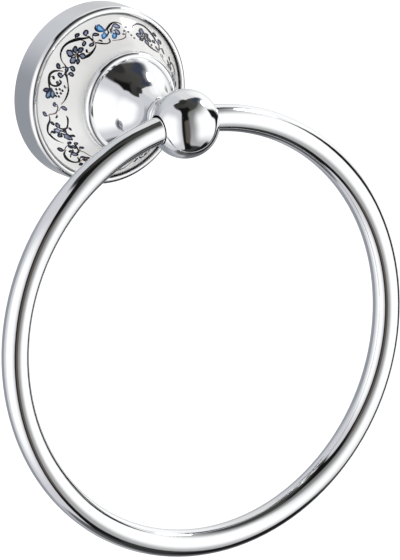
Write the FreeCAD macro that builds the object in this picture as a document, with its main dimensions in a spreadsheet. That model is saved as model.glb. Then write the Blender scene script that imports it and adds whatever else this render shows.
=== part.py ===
"""Wall-mounted towel ring: a ceramic rose in a chrome cup, a bell post, a ball and a swinging ring.

Millimetres. The wall is the plane Y = 0 and the front of the object faces -Y, with +Z up.
The origin is the centre of the cup's back edge, on the wall. Every turned piece shares the
axis of the post, the Y axis, and depths are counted from the wall towards the front.
"""

import FreeCAD
import Part
import Sketcher
import math
import os

from FreeCAD import Placement, Rotation, Vector

# Driving dimensions, each written once. Every other size is worked out from these.
SIZES = {
    # the ring and its hold in the ball
    "ring_outer_diameter": 160.0,
    "ring_tube_diameter": 9.5,
    "ring_tube_wall": 1.0,
    "ring_end_offset": 6.5,
    "socket_play": 0.45,
    "socket_end_play": 0.4,
    "socket_mouth_chamfer": 0.3,
    # the ball
    "ball_diameter": 24.2,
    "ball_seat_radius": 6.0,
    # the cup against the wall
    "cup_diameter": 63.0,
    "cup_depth": 12.0,
    "cup_wall": 3.3,
    "cup_floor_depth": 5.5,
    "cup_floor_thickness": 2.5,
    "cup_rim_round": 1.8,
    "cup_rim_land": 0.3,
    "cup_lip_round": 0.25,
    "cup_back_chamfer": 0.4,
    # the wall plate inside the cup
    "plate_thickness": 4.8,
    "plate_bevel": 2.0,
    "plate_gap": 0.3,
    "plate_opening_diameter": 16.0,
    "plate_hole_diameter": 4.8,
    "plate_hole_spacing": 36.0,
    "plate_sink_diameter": 9.2,
    # the set screw under the cup
    "set_screw_diameter": 4.0,
    "set_screw_length": 4.0,
    "set_screw_tip_diameter": 1.6,
    "set_screw_tip_length": 1.2,
    "set_screw_depth": 2.4,
    "set_screw_key": 2.0,
    "set_screw_key_depth": 1.8,
    # the ceramic ring
    "ceramic_gap": 0.25,
    "ceramic_edge_height": 2.6,
    "ceramic_edge_round": 0.7,
    "ceramic_wall": 4.0,
    "ceramic_bore_diameter": 26.4,
    "ceramic_shoulder_radius": 15.6,
    "ceramic_top_radius": 18.3,
    "ceramic_cove_radius": 19.5,
    "ceramic_cove_height": 2.6,
    "ceramic_flank_bend": 60.0,
    "ceramic_cove_bend": 7.0,
    "gasket_thickness": 0.4,
    # the bell
    "collar_depth": 24.5,
    "collar_radius": 18.3,
    "collar_bead_radius": 1.6,
    "collar_groove_width": 0.7,
    "collar_groove_depth": 0.5,
    "dome_foot_radius": 16.0,
    "dome_foot_rise": 0.2,
    "dome_foot_angle": 60.0,
    "dome_bend": 36.8,
    "dome_top_angle": 46.0,
    "neck_radius": 5.9,
    "neck_length": 0.29,
    "neck_bead_radius": 7.5,
    "neck_bead_round": 1.0,
    "neck_flare_length": 2.8,
    "neck_seat_step": 0.4,
    "boss_play": 0.3,
    "bell_skirt_wall": 2.5,
    "bell_core_radius": 6.0,
    "bell_hollow_rise": 1.1,
    # the long screw through the middle
    "screw_diameter": 6.0,
    "screw_engagement": 6.9,
    "screw_head_diameter": 11.5,
    "screw_head_height": 3.4,
    "screw_head_round": 1.0,
    "screw_tip_chamfer": 0.8,
    "screw_tip_room": 1.0,
    "screw_play": 0.3,
    "thread_play": 0.05,
    "screw_recess_width": 5.0,
    "screw_recess_depth": 2.0,
    "washer_thickness": 1.4,
    "washer_slit": 1.0,
}

doc = FreeCAD.newDocument("TowelRing")

sheet = doc.addObject("Spreadsheet::Sheet", "Sizes")
for row, (alias, amount) in enumerate(SIZES.items(), start=1):
    sheet.set(f"A{row}", alias)
    sheet.set(f"B{row}", str(amount))
    sheet.setAlias(f"B{row}", alias)
doc.recompute()


def size(alias):
    """The name of a driving dimension as an expression knows it."""
    return f"Sizes.{alias}"


def amount_of(expression):
    """The present number behind an expression."""
    found = sheet.evalExpression(expression)
    return float(getattr(found, "Value", found))


# Worked-out sizes, as expressions over the driving ones.
TUBE_RADIUS = f"({size('ring_tube_diameter')} / 2)"
RING_RADIUS = f"(({size('ring_outer_diameter')} - {size('ring_tube_diameter')}) / 2)"
BALL_RADIUS = f"({size('ball_diameter')} / 2)"
SOCKET_RADIUS = f"({TUBE_RADIUS} + {size('socket_play')})"
SOCKET_MOUTH = f"sqrt({BALL_RADIUS} ^ 2 - {SOCKET_RADIUS} ^ 2)"
SOCKET_FLOOR = (f"({size('ring_end_offset')} * (1 - {TUBE_RADIUS} / {RING_RADIUS})"
                f" - {size('socket_end_play')})")
SAG_AT_END = f"({RING_RADIUS} - sqrt({RING_RADIUS} ^ 2 - {size('ring_end_offset')} ^ 2))"
SAG_AT_MOUTH = f"({RING_RADIUS} - sqrt({RING_RADIUS} ^ 2 - {SOCKET_MOUTH} ^ 2))"
RING_RISE = f"(({SAG_AT_END} + {SAG_AT_MOUTH}) / 2)"
CUP_RADIUS = f"({size('cup_diameter')} / 2)"
CUP_INNER = f"({CUP_RADIUS} - {size('cup_wall')})"
CUP_FLOOR_FRONT = f"({size('cup_floor_depth')} + {size('cup_floor_thickness')})"
RECESS_RADIUS = f"({CUP_RADIUS} - {size('cup_rim_round')} - {size('cup_rim_land')})"
PLATE_RADIUS = f"({CUP_INNER} - {size('plate_gap')})"
CERAMIC_RADIUS = f"({RECESS_RADIUS} - {size('ceramic_gap')})"
CERAMIC_FOOT = f"({CUP_FLOOR_FRONT} + {size('gasket_thickness')})"
CERAMIC_TOP = f"({size('collar_depth')} - {size('gasket_thickness')})"
CERAMIC_BORE = f"({size('ceramic_bore_diameter')} / 2)"
CERAMIC_FOOT_INNER = f"({CERAMIC_RADIUS} - {size('ceramic_wall')})"
BOSS_RADIUS = f"({CERAMIC_BORE} - {size('boss_play')})"
BEAD_CENTRE = f"({size('collar_radius')} - {size('collar_bead_radius')})"
COLLAR_FRONT = f"({size('collar_depth')} + 2 * {size('collar_bead_radius')})"
DOME_FOOT_DEPTH = f"({COLLAR_FRONT} + {size('dome_foot_rise')})"
BELL_HOLLOW_DEPTH = f"({DOME_FOOT_DEPTH} + {size('bell_hollow_rise')})"
DOME_FOOT_SINE = f"sin({size('dome_foot_angle')} * 1 deg)"
DOME_FOOT_COSINE = f"cos({size('dome_foot_angle')} * 1 deg)"
DOME_SINE = f"sin({size('dome_top_angle')} * 1 deg)"
DOME_COSINE = f"cos({size('dome_top_angle')} * 1 deg)"
DOME_TOP_RADIUS = (f"({size('dome_foot_radius')}"
                   f" - {size('dome_bend')} * ({DOME_FOOT_SINE} - {DOME_SINE}))")
DOME_TOP_DEPTH = f"({DOME_FOOT_DEPTH} + {size('dome_bend')} * ({DOME_COSINE} - {DOME_FOOT_COSINE}))"
COVE_RADIUS = f"(({DOME_TOP_RADIUS} - {size('neck_radius')}) / (1 - {DOME_SINE}))"
NECK_DEPTH = f"({DOME_TOP_DEPTH} + {COVE_RADIUS} * {DOME_COSINE})"
BEAD_BACK_DEPTH = f"({NECK_DEPTH} + {size('neck_length')} + {size('neck_flare_length')})"
BALL_SEAT_DEPTH = f"({BEAD_BACK_DEPTH} + 2 * {size('neck_bead_round')} + {size('neck_seat_step')})"
BALL_DEPTH = f"({BALL_SEAT_DEPTH} + sqrt({BALL_RADIUS} ^ 2 - {size('ball_seat_radius')} ^ 2))"
NECK_BEAD_CORE = f"({size('neck_bead_radius')} - {size('neck_bead_round')})"
SCREW_RADIUS = f"({size('screw_diameter')} / 2)"
SCREW_HOLE_RADIUS = f"({SCREW_RADIUS} + {size('screw_play')})"
HEAD_FACE_DEPTH = f"({size('cup_floor_depth')} - {size('washer_thickness')})"
SCREW_TIP_DEPTH = f"({BALL_SEAT_DEPTH} + {size('screw_engagement')})"
HEAD_RADIUS = f"({size('screw_head_diameter')} / 2)"
SET_SCREW_RADIUS = f"({size('set_screw_diameter')} / 2)"
TIP_RADIUS = f"({size('set_screw_tip_diameter')} / 2)"
BEVEL_AT_TIP = (f"({PLATE_RADIUS} - {size('plate_bevel')} * (1 - ({size('set_screw_depth')}"
                f" + {TIP_RADIUS}) / {size('plate_thickness')}))")
SET_SCREW_TIP = f"({BEVEL_AT_TIP} + {size('thread_play')})"


def origin_plane(body, role):
    """One of the body's own origin planes."""
    return next(item for item in body.Origin.OriginFeatures if item.Role == role)


def new_body(label):
    """An empty body whose label is its file name."""
    body = doc.addObject("PartDesign::Body", label)
    body.Label = label
    return body


def new_sketch(body, name, role, offset=None):
    """A sketch on an origin plane, optionally lifted off it by an expression."""
    sketch = body.newObject("Sketcher::SketchObject", name)
    sketch.AttachmentSupport = [(origin_plane(body, role), "")]
    sketch.MapMode = "FlatFace"
    if offset is not None:
        sketch.setExpression("AttachmentOffset.Base.z", offset)
    return sketch


def bind(sketch, constraint, expression):
    """Add a dimension to a sketch and tie it to an expression."""
    index = sketch.addConstraint(constraint)
    sketch.setExpression(f"Constraints[{index}]", expression)


def pin_point(sketch, curve, end, across, along):
    """Hold one end of a curve at two expressions, measured from the sketch's origin."""
    for kind, expression in (("DistanceX", across), ("DistanceY", along)):
        if amount_of(expression) == 0:
            axis = -2 if kind == "DistanceX" else -1
            sketch.addConstraint(Sketcher.Constraint("PointOnObject", curve, end, axis))
        else:
            value = amount_of(expression)
            bind(sketch, Sketcher.Constraint(kind, -1, 1, curve, end, value), expression)


def arc_between(start, stop, radius, bulge):
    """The short arc from start to stop, on the left (+1) or right (-1) of the way between them.

    It always runs anticlockwise, so one that bulges to the left runs from stop to start.
    """
    chord = stop - start
    half = chord.Length / 2
    normal = Vector(-chord.y, chord.x, 0).normalize()
    reach = math.sqrt(max(radius ** 2 - half ** 2, 0.0))
    centre = (start + stop) / 2 - normal * (bulge * reach)
    first, last = (stop, start) if bulge > 0 else (start, stop)
    first_angle = math.atan2(first.y - centre.y, first.x - centre.x)
    last_angle = math.atan2(last.y - centre.y, last.x - centre.x)
    if last_angle <= first_angle:
        last_angle += 2 * math.pi
    return Part.ArcOfCircle(Part.Circle(centre, Vector(0, 0, 1), radius), first_angle, last_angle)


def outline(body, name, corners, role="XY_Plane"):
    """A closed sketch of a half section: radius across, depth from the wall downwards.

    Each corner is (radius, depth) or (radius, depth, (arc radius, bulge)), where the arc
    runs from this corner to the next one.
    """
    sketch = new_sketch(body, name, role)
    places = [Vector(amount_of(corner[0]), -amount_of(corner[1]), 0) for corner in corners]
    for index, corner in enumerate(corners):
        start = places[index]
        stop = places[(index + 1) % len(places)]
        if len(corner) == 3:
            radius, bulge = corner[2]
            sketch.addGeometry(arc_between(start, stop, amount_of(radius), bulge))
        else:
            sketch.addGeometry(Part.LineSegment(start, stop))
    ends = []
    for corner in corners:
        turned = len(corner) == 3 and corner[2][1] > 0
        ends.append((2, 1) if turned else (1, 2))
    for index, corner in enumerate(corners):
        follower = (index + 1) % len(corners)
        joint = Sketcher.Constraint("Coincident", index, ends[index][1], follower, ends[follower][0])
        sketch.addConstraint(joint)
        pin_point(sketch, index, ends[index][0], corner[0], f"-({corner[1]})")
        if len(corner) == 3:
            radius = corner[2][0]
            bind(sketch, Sketcher.Constraint("Radius", index, amount_of(radius)), radius)
    return sketch


def revolve(body, sketch, name):
    """Turn a half section once round the post's axis."""
    turned = body.newObject("PartDesign::Revolution", name)
    turned.Profile = sketch
    turned.ReferenceAxis = (sketch, ["V_Axis"])
    turned.Angle = 360.0
    doc.recompute()
    return turned


def circle_sketch(body, name, role, across, along, radius, offset=None):
    """A sketch that holds one circle."""
    sketch = new_sketch(body, name, role, offset)
    centre = Vector(amount_of(across), amount_of(along), 0)
    sketch.addGeometry(Part.Circle(centre, Vector(0, 0, 1), amount_of(radius)))
    pin_point(sketch, 0, 3, across, along)
    bind(sketch, Sketcher.Constraint("Radius", 0, amount_of(radius)), radius)
    return sketch


def pocket(body, sketch, name, depth=None, reverse=False):
    """Cut a sketch into the body, through everything or to a depth, and check that it cut."""
    before = body.Shape.Volume
    cut = body.newObject("PartDesign::Pocket", name)
    cut.Profile = sketch
    cut.Reversed = reverse
    if depth is None:
        cut.Type = "ThroughAll"
    else:
        cut.setExpression("Length", depth)
    doc.recompute()
    if cut.Shape.Volume >= before:
        raise RuntimeError(f"{body.Label}: {name} cuts nothing")
    return cut


def hexagon_sketch(body, name, role, across, along, width, offset):
    """A sketch of a regular hexagon by its width across flats."""
    sketch = new_sketch(body, name, role, offset)
    centre = Vector(amount_of(across), amount_of(along), 0)
    reach = amount_of(width) / math.sqrt(3)
    corners = [centre + Vector(math.cos(math.radians(60 * k)), math.sin(math.radians(60 * k)), 0) * reach
               for k in range(6)]
    for k in range(6):
        sketch.addGeometry(Part.LineSegment(corners[k], corners[(k + 1) % 6]))
    for k in range(6):
        sketch.addConstraint(Sketcher.Constraint("Coincident", k, 2, (k + 1) % 6, 1))
    guide = sketch.addGeometry(Part.Circle(centre, Vector(0, 0, 1), reach), True)
    for k in range(6):
        sketch.addConstraint(Sketcher.Constraint("PointOnObject", k, 1, guide))
    for k in range(1, 6):
        sketch.addConstraint(Sketcher.Constraint("Equal", 0, k))
    pin_point(sketch, guide, 3, across, along)
    sketch.addConstraint(Sketcher.Constraint("Horizontal", 1))
    bind(sketch, Sketcher.Constraint("Radius", guide, reach), f"{width} / sqrt(3)")
    return sketch


def make_wall_plate():
    """The steel disc on the wall, wider in front than behind so that the set screw draws it home."""
    body = new_body("wall_plate")
    opening = f"({size('plate_opening_diameter')} / 2)"
    back_radius = f"({PLATE_RADIUS} - {size('plate_bevel')})"
    thickness = size("plate_thickness")
    section = outline(body, "PlateSection", [
        (opening, "0"),
        (back_radius, "0"),
        (PLATE_RADIUS, thickness),
        (opening, thickness),
    ])
    revolve(body, section, "Plate")
    holes = new_sketch(body, "ScrewHoles", "XZ_Plane", thickness)
    hole_radius = f"({size('plate_hole_diameter')} / 2)"
    for index, side in enumerate((-1, 1)):
        place = f"({side} * {size('plate_hole_spacing')} / 2)"
        centre = Vector(amount_of(place), 0, 0)
        holes.addGeometry(Part.Circle(centre, Vector(0, 0, 1), amount_of(hole_radius)))
        pin_point(holes, index, 3, place, "0")
        bind(holes, Sketcher.Constraint("Radius", index, amount_of(hole_radius)), hole_radius)
    doc.recompute()
    drilled = body.newObject("PartDesign::Hole", "Countersinks")
    drilled.Profile = holes
    doc.recompute()
    drilled.DepthType = "ThroughAll"
    drilled.setExpression("Diameter", size("plate_hole_diameter"))
    drilled.HoleCutType = "Countersink"
    drilled.HoleCutCustomValues = True
    drilled.setExpression("HoleCutDiameter", size("plate_sink_diameter"))
    drilled.HoleCutCountersinkAngle = 90.0
    doc.recompute()
    return body


def make_base_cup():
    """The chrome cup: a plain side, a rounded rim, a recess for the ceramic and a floor."""
    body = new_body("base_cup")
    depth = size("cup_depth")
    rim_round = size("cup_rim_round")
    lip_round = size("cup_lip_round")
    chamfer = size("cup_back_chamfer")
    section = outline(body, "CupSection", [
        (CUP_INNER, "0"),
        (f"({CUP_RADIUS} - {chamfer})", "0"),
        (CUP_RADIUS, chamfer),
        (CUP_RADIUS, f"({depth} - {rim_round})", (rim_round, 1)),
        (f"({CUP_RADIUS} - {rim_round})", depth),
        (f"({RECESS_RADIUS} + {lip_round})", depth, (lip_round, 1)),
        (RECESS_RADIUS, f"({depth} - {lip_round})"),
        (RECESS_RADIUS, CUP_FLOOR_FRONT),
        (SCREW_HOLE_RADIUS, CUP_FLOOR_FRONT),
        (SCREW_HOLE_RADIUS, size("cup_floor_depth")),
        (CUP_INNER, size("cup_floor_depth")),
    ])
    revolve(body, section, "Cup")
    bore_radius = f"({SET_SCREW_RADIUS} + {size('thread_play')})"
    bore = circle_sketch(body, "SetScrewBore", "XY_Plane", "0", f"-{size('set_screw_depth')}", bore_radius)
    pocket(body, bore, "SetScrewHole")
    return body


def make_set_screw():
    """The headless screw in the cup's underside, its cone against the wall plate's bevel."""
    body = new_body("set_screw")
    length = size("set_screw_length")
    section = outline(body, "SetScrewSection", [
        ("0", "0"),
        (TIP_RADIUS, "0"),
        (SET_SCREW_RADIUS, size("set_screw_tip_length")),
        (SET_SCREW_RADIUS, length),
        ("0", length),
    ])
    revolve(body, section, "SetScrew")
    key = hexagon_sketch(body, "KeySocket", "XZ_Plane", "0", "0", size("set_screw_key"), length)
    pocket(body, key, "Key", size("set_screw_key_depth"))
    body.Placement = Placement(Vector(0, 0, 0), Rotation(Vector(1, 0, 0), 90))
    body.setExpression("Placement.Base.y", f"-{size('set_screw_depth')}")
    body.setExpression("Placement.Base.z", f"-{SET_SCREW_TIP}")
    doc.recompute()
    return body


def make_flat_ring(label, inner, outer, back, front):
    """A flat ring between two radii and two depths."""
    body = new_body(label)
    section = outline(body, f"{label}_section", [(inner, back), (outer, back), (outer, front), (inner, front)])
    revolve(body, section, f"{label}_ring")
    return body


def make_ceramic_ring():
    """The glazed ring: a thin outer edge, a flank that rises like a trumpet and a cove at its top."""
    body = new_body("ceramic_ring")
    edge_round = size("ceramic_edge_round")
    edge_front = f"({CERAMIC_FOOT} + {size('ceramic_edge_height')})"
    section = outline(body, "CeramicSection", [
        (CERAMIC_FOOT_INNER, CERAMIC_FOOT),
        (CERAMIC_RADIUS, CERAMIC_FOOT),
        (CERAMIC_RADIUS, f"({edge_front} - {edge_round})", (edge_round, 1)),
        (f"({CERAMIC_RADIUS} - {edge_round})", edge_front, (size("ceramic_flank_bend"), -1)),
        (size("ceramic_cove_radius"), f"({CERAMIC_TOP} - {size('ceramic_cove_height')})",
         (size("ceramic_cove_bend"), -1)),
        (size("ceramic_top_radius"), CERAMIC_TOP),
        (CERAMIC_BORE, CERAMIC_TOP),
        (CERAMIC_BORE, f"({CERAMIC_TOP} - {size('ceramic_wall')})"),
        (size("ceramic_shoulder_radius"), f"({CERAMIC_TOP} - {size('ceramic_wall')})"),
    ])
    revolve(body, section, "Ceramic")
    return body


def make_bell_post():
    """The bell: collar bead, groove, low dome, long cove and neck bead, on a hollow boss."""
    body = new_body("bell_post")
    skirt_inner = f"({BOSS_RADIUS} - {size('bell_skirt_wall')})"
    bead_radius = size("collar_bead_radius")
    groove_radius = f"({size('dome_foot_radius')} + {size('collar_groove_width')} / 2)"
    flare_rise = f"({NECK_BEAD_CORE} - {size('neck_radius')})"
    flare_length = size("neck_flare_length")
    flare_bend = f"(({flare_length} ^ 2 + {flare_rise} ^ 2) / (2 * {flare_rise}))"
    bead_round = size("neck_bead_round")
    section = outline(body, "BellSection", [
        (SCREW_HOLE_RADIUS, CUP_FLOOR_FRONT),
        (size("bell_core_radius"), CUP_FLOOR_FRONT),
        (size("bell_core_radius"), BELL_HOLLOW_DEPTH),
        (skirt_inner, BELL_HOLLOW_DEPTH),
        (skirt_inner, CUP_FLOOR_FRONT),
        (BOSS_RADIUS, CUP_FLOOR_FRONT),
        (BOSS_RADIUS, size("collar_depth")),
        (BEAD_CENTRE, size("collar_depth"), (bead_radius, 1)),
        (size("collar_radius"), f"({size('collar_depth')} + {bead_radius})", (bead_radius, 1)),
        (BEAD_CENTRE, COLLAR_FRONT),
        (groove_radius, f"({COLLAR_FRONT} - {size('collar_groove_depth')})"),
        (size("dome_foot_radius"), DOME_FOOT_DEPTH, (size("dome_bend"), 1)),
        (DOME_TOP_RADIUS, DOME_TOP_DEPTH, (COVE_RADIUS, -1)),
        (size("neck_radius"), NECK_DEPTH),
        (size("neck_radius"), f"({BEAD_BACK_DEPTH} - {flare_length})", (flare_bend, -1)),
        (NECK_BEAD_CORE, BEAD_BACK_DEPTH, (bead_round, 1)),
        (size("neck_bead_radius"), f"({BEAD_BACK_DEPTH} + {bead_round})", (bead_round, 1)),
        (NECK_BEAD_CORE, f"({BEAD_BACK_DEPTH} + 2 * {bead_round})"),
        (size("ball_seat_radius"), BALL_SEAT_DEPTH),
        (SCREW_HOLE_RADIUS, BALL_SEAT_DEPTH),
    ])
    revolve(body, section, "Bell")
    return body


def make_centre_screw():
    """The long screw from behind the cup's floor, through the bell, into the ball."""
    body = new_body("centre_screw")
    head_back = f"({HEAD_FACE_DEPTH} - {size('screw_head_height')})"
    head_round = size("screw_head_round")
    section = outline(body, "ScrewSection", [
        ("0", head_back),
        (f"({HEAD_RADIUS} - {head_round})", head_back, (head_round, 1)),
        (HEAD_RADIUS, f"({head_back} + {head_round})"),
        (HEAD_RADIUS, HEAD_FACE_DEPTH),
        (SCREW_RADIUS, HEAD_FACE_DEPTH),
        (SCREW_RADIUS, f"({SCREW_TIP_DEPTH} - {size('screw_tip_chamfer')})"),
        (f"({SCREW_RADIUS} - {size('screw_tip_chamfer')})", SCREW_TIP_DEPTH),
        ("0", SCREW_TIP_DEPTH),
    ])
    revolve(body, section, "Screw")
    recess = hexagon_sketch(body, "Recess", "XZ_Plane", "0", "0", size("screw_recess_width"), head_back)
    pocket(body, recess, "RecessPocket", size("screw_recess_depth"), reverse=True)
    return body


def make_spring_washer():
    """The split washer between the screw's head and the cup's floor."""
    body = new_body("spring_washer")
    outer = f"({HEAD_RADIUS} - {size('screw_play')})"
    section = outline(body, "WasherSection", [
        (SCREW_HOLE_RADIUS, HEAD_FACE_DEPTH),
        (outer, HEAD_FACE_DEPTH),
        (outer, size("cup_floor_depth")),
        (SCREW_HOLE_RADIUS, size("cup_floor_depth")),
    ])
    washer = revolve(body, section, "Washer")
    washer.setExpression("Angle", f"360 deg - 2 * asin({size('washer_slit')} / 2 / {SCREW_HOLE_RADIUS})")
    doc.recompute()
    return body


def make_ball_head():
    """The ball: a flat seat and a tapped hole behind, and a socket in each side for the ring's ends."""
    body = new_body("ball_head")
    ball = body.newObject("PartDesign::AdditiveSphere", "Ball")
    ball.AttachmentSupport = [(origin_plane(body, "XZ_Plane"), "")]
    ball.MapMode = "FlatFace"
    # The sphere's seam lies on top, clear of both sockets.
    ball.AttachmentOffset = Placement(Vector(0, 0, 0), Rotation(Vector(0, 0, 1), 90))
    ball.setExpression("AttachmentOffset.Base.z", BALL_DEPTH)
    ball.setExpression("Radius", BALL_RADIUS)
    ball.setExpression("Angle1", f"-acos({size('ball_seat_radius')} / {BALL_RADIUS})")
    doc.recompute()
    hole_radius = f"({SCREW_RADIUS} + {size('thread_play')})"
    hole = circle_sketch(body, "TappedCircle", "XZ_Plane", "0", "0", hole_radius, BALL_SEAT_DEPTH)
    hole_length = f"({size('screw_engagement')} + {size('screw_tip_room')})"
    pocket(body, hole, "TappedHole", hole_length, reverse=True)
    mouth = circle_sketch(body, "SocketCircle", "YZ_Plane", f"-{BALL_DEPTH}", "0", SOCKET_RADIUS,
                          SOCKET_FLOOR)
    socket = pocket(body, mouth, "Socket", reverse=True)
    twin = body.newObject("PartDesign::Mirrored", "TwinSocket")
    twin.MirrorPlane = (origin_plane(body, "YZ_Plane"), [""])
    twin.Originals = [socket]
    body.Tip = twin
    doc.recompute()
    rims = [f"Edge{index}" for index, edge in enumerate(twin.Shape.Edges, start=1)
            if is_socket_rim(edge)]
    chamfer = body.newObject("PartDesign::Chamfer", "SocketMouths")
    chamfer.Base = (twin, rims)
    chamfer.setExpression("Size", size("socket_mouth_chamfer"))
    doc.recompute()
    return body


def is_socket_rim(edge):
    """Whether an edge of the ball is the circle where a socket breaks its surface."""
    if edge.Degenerated:
        return False
    mouth = amount_of(SOCKET_MOUTH)
    near = mouth / 1000
    return all(abs(abs(point.x) - mouth) < near for point in edge.discretize(5))


def make_towel_ring():
    """The ring: one bent tube, open for the width of the ball's web, its ends in the two sockets."""
    body = new_body("towel_ring")
    section = new_sketch(body, "TubeSection", "YZ_Plane")
    across = f"-{BALL_DEPTH}"
    bottom = f"({RING_RISE} - 2 * {RING_RADIUS})"
    centre = Vector(amount_of(across), amount_of(bottom), 0)
    radii = (TUBE_RADIUS, f"({TUBE_RADIUS} - {size('ring_tube_wall')})")
    for index, radius in enumerate(radii):
        section.addGeometry(Part.Circle(centre, Vector(0, 0, 1), amount_of(radius)))
        bind(section, Sketcher.Constraint("Radius", index, amount_of(radius)), radius)
    pin_point(section, 0, 3, across, bottom)
    section.addConstraint(Sketcher.Constraint("Coincident", 0, 3, 1, 3))
    hub = f"({RING_RISE} - {RING_RADIUS})"
    reach = Vector(amount_of(TUBE_RADIUS), 0, 0)
    middle = Vector(amount_of(across), amount_of(hub), 0)
    axle = section.addGeometry(Part.LineSegment(middle - reach, middle + reach), True)
    section.addConstraint(Sketcher.Constraint("Horizontal", axle))
    pin_point(section, axle, 1, f"({across} - {TUBE_RADIUS})", hub)
    bind(section, Sketcher.Constraint("DistanceX", axle, 1, axle, 2, 2 * amount_of(TUBE_RADIUS)),
         f"2 * {TUBE_RADIUS}")
    tube = body.newObject("PartDesign::Revolution", "BentTube")
    tube.Profile = section
    tube.ReferenceAxis = (section, ["Axis0"])
    tube.Midplane = True
    tube.setExpression("Angle", f"360 deg - 2 * asin({size('ring_end_offset')} / {RING_RADIUS})")
    doc.recompute()
    return body


pieces = [
    make_wall_plate(),
    make_base_cup(),
    make_set_screw(),
    make_flat_ring("base_gasket", CERAMIC_FOOT_INNER, CERAMIC_RADIUS, CUP_FLOOR_FRONT, CERAMIC_FOOT),
    make_ceramic_ring(),
    make_flat_ring("collar_gasket", CERAMIC_BORE, BEAD_CENTRE, CERAMIC_TOP, size("collar_depth")),
    make_bell_post(),
    make_centre_screw(),
    make_spring_washer(),
    make_ball_head(),
    make_towel_ring(),
]

doc.recompute()
for item in doc.Objects:
    troubles = [state for state in item.State if state in ("Invalid", "Error")]
    if troubles:
        raise RuntimeError(f"{item.Label} is {troubles[0]}")
for piece in pieces:
    if piece.Shape.isNull() or not piece.Shape.isValid():
        raise RuntimeError(f"{piece.Label} has no valid shape")

os.makedirs("parts", exist_ok=True)
for piece in pieces:
    piece.Shape.exportStep(f"parts/{piece.Label}.step")
    print(piece.Label, len(piece.Shape.Solids), round(piece.Shape.Volume, 2))
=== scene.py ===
"""Looks of a wall-mounted towel ring: chrome cup, painted ceramic rose, bell post, ball and swinging ring.

Everything is in metres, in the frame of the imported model: the wall is the plane y = 0, the front
faces -Y, +Z is up, and the origin is the centre of the cup's back edge. Angles on the rose are
counted from +X towards +Z, as seen from the front.
"""

import logging
import math
from dataclasses import dataclass, field
from enum import Enum

import bpy
from mathutils import Matrix, Vector


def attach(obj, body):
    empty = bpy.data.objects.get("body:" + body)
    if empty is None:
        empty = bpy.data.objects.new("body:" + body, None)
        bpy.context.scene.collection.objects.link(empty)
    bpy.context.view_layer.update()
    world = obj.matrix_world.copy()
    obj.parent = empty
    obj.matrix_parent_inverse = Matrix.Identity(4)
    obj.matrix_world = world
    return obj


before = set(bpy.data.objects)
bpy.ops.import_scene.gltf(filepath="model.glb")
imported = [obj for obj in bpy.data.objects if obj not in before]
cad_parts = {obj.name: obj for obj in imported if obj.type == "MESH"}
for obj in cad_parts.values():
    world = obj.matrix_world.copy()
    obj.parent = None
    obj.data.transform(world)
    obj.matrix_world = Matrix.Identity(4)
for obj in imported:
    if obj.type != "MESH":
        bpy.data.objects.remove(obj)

logging.basicConfig(level=logging.INFO, format="%(message)s")
LOG = logging.getLogger("towel_ring")

MM = 0.001
SIZE_SLACK = 0.15
BRACKET = "bracket"
NOISE_MIDDLE = (0.3, 0.7)

Colour = tuple[float, float, float]
Place = tuple[float, float]


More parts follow.
